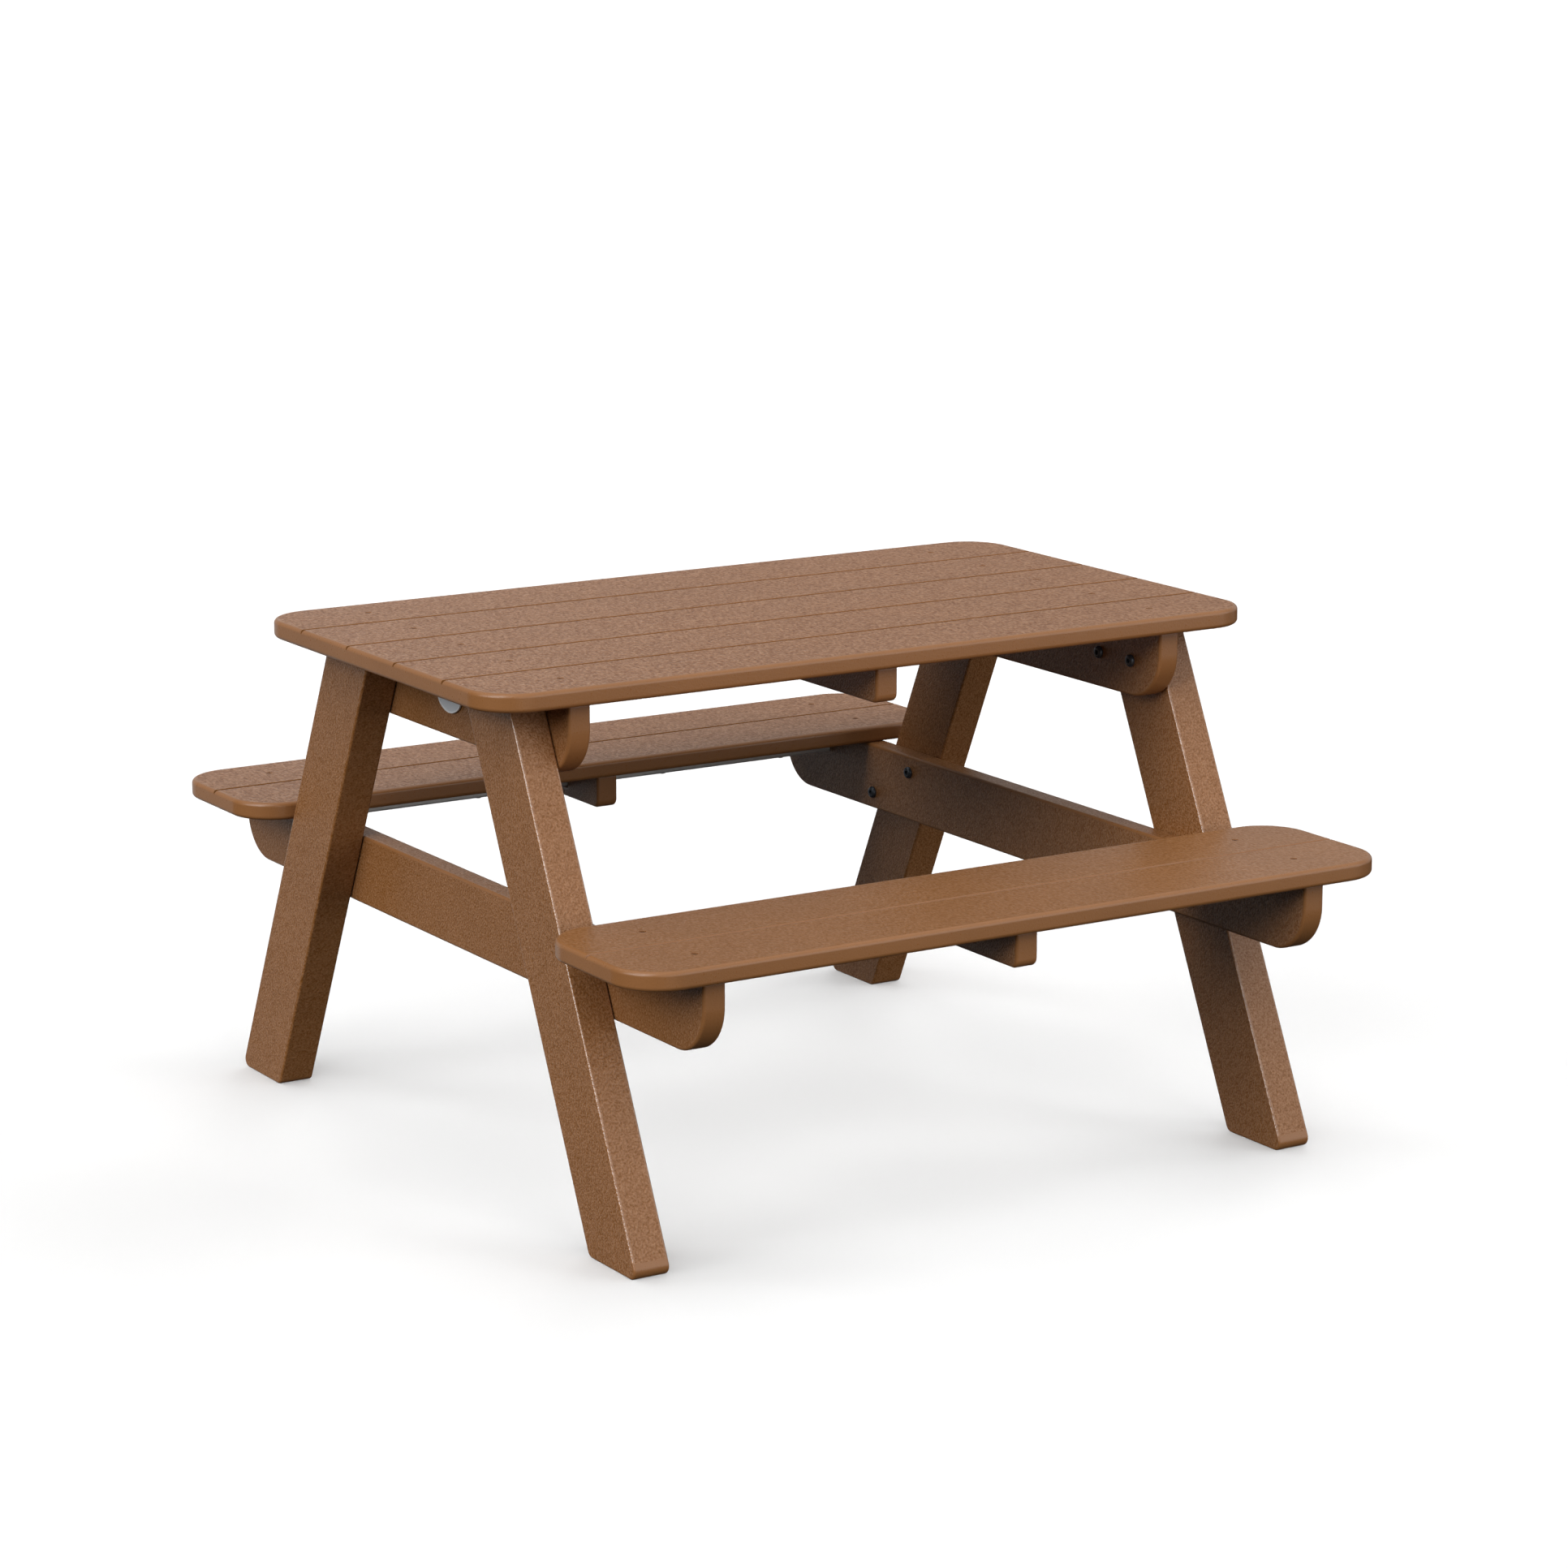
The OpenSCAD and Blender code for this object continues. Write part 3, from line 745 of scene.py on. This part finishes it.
def build_panels():
    """Tabletop and benches, with the screws that hold them to the rails."""
    panel("tabletop_panel", "tabletop", TOP_STRIPS, panel_face, groove_painted_shade)
    low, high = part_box("tabletop")
    for end, x in zip(ENDS, RAIL_XS):
        spots = [Vector((x, y, high.z - SCREW_SINK)) for y in strip_lines(high.y - low.y, TOP_STRIPS)]
        screws(f"{end}_top_screw_set", f"{end}_tabletop_screws", spots, PANEL_SCREW_L)
    # The front bench, in the tabletop's shade, gets weaker painted glints and no painted shade in its
    # grooves
    looks = {"front": (bench_face_weak_glints, lumber_routed), "rear": (panel_face, groove_painted_shade)}
    for side in SIDES:
        panel(f"{side}_bench_panel", f"{side}_bench_seat", BENCH_STRIPS, *looks[side])
        low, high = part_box(f"{side}_bench_seat")
        centre = (low.y + high.y) / 2
        spots = [Vector((x, centre + y, high.z - SCREW_SINK))
                 for x in RAIL_XS for y in strip_lines(high.y - low.y, BENCH_STRIPS)]
        screws(f"{side}_bench_screw_set", f"{side}_bench_screws", spots, PANEL_SCREW_L)


def build_frame():
    """Legs and rails, with their bolts and inserts."""
    for end, end_sign in ENDS.items():
        for side, side_sign in SIDES.items():
            leg(f"{end}_{side}_leg_board", f"{end}_{side}_leg", side_sign)
        for level in ("top", "seat"):
            rail(f"{end}_{level}_rail_board", f"{end}_{level}_rail")
        top_z = middle(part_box(f"{end}_top_rail")).z
        seat_z = middle(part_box(f"{end}_seat_rail")).z
        top_spots = [(leg_y(top_z) + s * TOP_BOLT_HALF, top_z) for s in (-1, 1)]
        seat_y = leg_y(seat_z)
        seat_spots = [(seat_y + s * SEAT_BOLT_OUT, seat_z - s * SEAT_BOLT_UP) for s in (-1, 1)]
        rail_bolts(f"{end}_top_bolt_set", f"{end}_top_rail_bolts", end_sign, top_spots)
        rail_bolts(f"{end}_seat_bolt_set", f"{end}_seat_rail_bolts", end_sign, seat_spots)
        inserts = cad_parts[f"{end}_leg_inserts"]
        inserts.data.materials.clear()
        inserts.data.materials.append(insert_brass)


def cleat_screws(name, node, cleat, ys):
    """Screws up through a cleat, with their heads sunk into its lower edge."""
    low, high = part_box(cleat)
    x = (low.x + high.x) / 2
    z = low.z + CLEAT_SINK - SCREW_HEAD_H
    screws(name, node, [Vector((x, y, z)) for y in ys], CLEAT_SCREW_L, way=1)


def build_underside():
    """Cleats, bench tubes and the screws that hold them up."""
    rail("tabletop_cleat_board", "tabletop_cleat", TOP_CLEAT_SCREW_YS)
    cleat_screws("top_cleat_screw_set", "tabletop_cleat_screws", "tabletop_cleat", TOP_CLEAT_SCREW_YS)
    for side in SIDES:
        bench_y = middle(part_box(f"{side}_bench_seat")).y
        screw_ys = [bench_y + y for y in BENCH_CLEAT_SCREW_YS]
        rail(f"{side}_cleat_board", f"{side}_bench_cleat", screw_ys)
        cleat_screws(f"{side}_cleat_screw_set", f"{side}_cleat_screws", f"{side}_bench_cleat", screw_ys)
        tube(f"{side}_square_tube", f"{side}_bench_tube")
        tube_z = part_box(f"{side}_bench_tube")[0].z
        spots = [Vector((x, bench_y, tube_z - SCREW_HEAD_H)) for x in TUBE_SCREW_XS]
        screws(f"{side}_tube_screw_set", f"{side}_tube_screws", spots, TUBE_SCREW_L, way=1)


build_panels()
build_frame()
build_underside()
badge("blank_badge", "badge")


# ---- Studio ----

FLOOR_R = 40.0
FLOOR_ALBEDO = 0.58
FLOOR_GLOW = 0.09
ROOM_LEVEL = 0.01
LAMP_DISTANCE = 3.0
FLOOR_LAMP_STEP = 45
ONLY_FLOOR = bpy.data.collections.new("only_floor")
WITHOUT_FLOOR = bpy.data.collections.new("without_floor")


def floor():
    """Plain pale round floor, lit on its own, so that only soft shadows show on it."""
    bm = bmesh.new()
    bm.faces.new([bm.verts.new((x, y, cad_box[0].z)) for x, y in circle(FLOOR_R)])
    piece = new_piece("floor", bm)
    paint = Graph("floor_paint", Base_Color=(FLOOR_ALBEDO,) * 3 + (1,), Roughness=1.0,
                  Specular_IOR_Level=0.0, Emission_Color=(1, 1, 1, 1), Emission_Strength=FLOOR_GLOW)
    piece.data.materials.append(paint.material)
    piece.visible_diffuse = False
    piece.visible_glossy = False
    piece.visible_shadow = False
    ONLY_FLOOR.objects.link(piece)
    WITHOUT_FLOOR.objects.link(piece)
    WITHOUT_FLOOR.collection_objects[0].light_linking.link_state = "EXCLUDE"


def soft_light(name, azimuth, elevation, spread, level, on_floor=False):
    """Round soft light far away, as wide as spread; level is the light on a surface that faces it.

    Angles are in degrees. Azimuth 0 is in front of the table and 90 to its left. A light falls on the
    table or on the floor, not on both.
    """
    data = bpy.data.lights.new(name, "SUN")
    data.angle = math.radians(spread)
    data.energy = level
    light = bpy.data.objects.new(name, data)
    across = math.radians(azimuth)
    above = math.radians(elevation)
    ahead = Vector((-math.sin(across), -math.cos(across), 0))
    towards = ahead * math.cos(above) + Vector((0, 0, math.sin(above)))
    light.rotation_euler = towards.to_track_quat("Z", "Y").to_euler()
    light.location = LAMP_DISTANCE * towards
    bpy.context.scene.collection.objects.link(light)
    light.light_linking.receiver_collection = ONLY_FLOOR if on_floor else WITHOUT_FLOOR


def surroundings():
    """Plain white behind the table for the camera, and a dim grey room for light and reflections."""
    world = bpy.data.worlds.new("studio")
    world.use_nodes = True
    bpy.context.scene.world = world
    nodes = world.node_tree.nodes
    links = world.node_tree.links
    room = nodes["Background"]
    room.inputs["Color"].default_value = (ROOM_LEVEL, ROOM_LEVEL, ROOM_LEVEL, 1)
    white = nodes.new("ShaderNodeBackground")
    white.inputs["Color"].default_value = (1, 1, 1, 1)
    choose = nodes.new("ShaderNodeMixShader")
    links.new(nodes.new("ShaderNodeLightPath").outputs["Is Camera Ray"], choose.inputs[0])
    links.new(room.outputs[0], choose.inputs[1])
    links.new(white.outputs[0], choose.inputs[2])
    links.new(choose.outputs[0], nodes["World Output"].inputs["Surface"])


def camera():
    """Long-lens view from the front left, looking a little down."""
    azimuth = math.radians(31.9932)
    drop = math.radians(12.6779)
    distance = 4.67295
    aside = 0.02536
    above = 0.08142
    data = bpy.data.cameras.new("camera")
    data.sensor_width = 36
    data.lens = 101.0
    data.clip_end = 2 * FLOOR_R
    view = bpy.data.objects.new("camera", data)
    level_ahead = Vector((math.sin(azimuth), math.cos(azimuth), 0))
    ahead = level_ahead * math.cos(drop) - Vector((0, 0, math.sin(drop)))
    right = Vector((math.cos(azimuth), -math.sin(azimuth), 0))
    up = right.cross(ahead)
    view.location = middle(cad_box) - ahead * distance + right * aside + up * above
    view.rotation_euler = (math.pi / 2 - drop, 0, -azimuth)
    bpy.context.scene.collection.objects.link(view)
    bpy.context.scene.camera = view


floor()
surroundings()
soft_light("key_low", azimuth=70, elevation=24, spread=30, level=0.80)
soft_light("key_left", azimuth=92, elevation=24, spread=30, level=0.70)
soft_light("key_high", azimuth=70, elevation=54, spread=30, level=0.60)
soft_light("key_front", azimuth=50, elevation=38, spread=30, level=0.35)
soft_light("key_narrow", azimuth=60, elevation=23, spread=14, level=0.30)
soft_light("overhead", azimuth=0, elevation=90, spread=100, level=1.39)
soft_light("right_low", azimuth=315, elevation=15, spread=50, level=0.87)
soft_light("front_low", azimuth=0, elevation=15, spread=50, level=0.64)
soft_light("back_level", azimuth=180, elevation=0, spread=60, level=0.41)
soft_light("side_low", azimuth=270, elevation=15, spread=50, level=0.26)
soft_light("back_low", azimuth=225, elevation=15, spread=50, level=0.25)
soft_light("floor_overhead", azimuth=0, elevation=90, spread=50, level=0.60, on_floor=True)
for azimuth in range(0, 360, FLOOR_LAMP_STEP):
    soft_light(f"floor_{azimuth}", azimuth, elevation=12, spread=40, level=3.0, on_floor=True)
camera()
bpy.context.scene.view_settings.view_transform = "Standard"
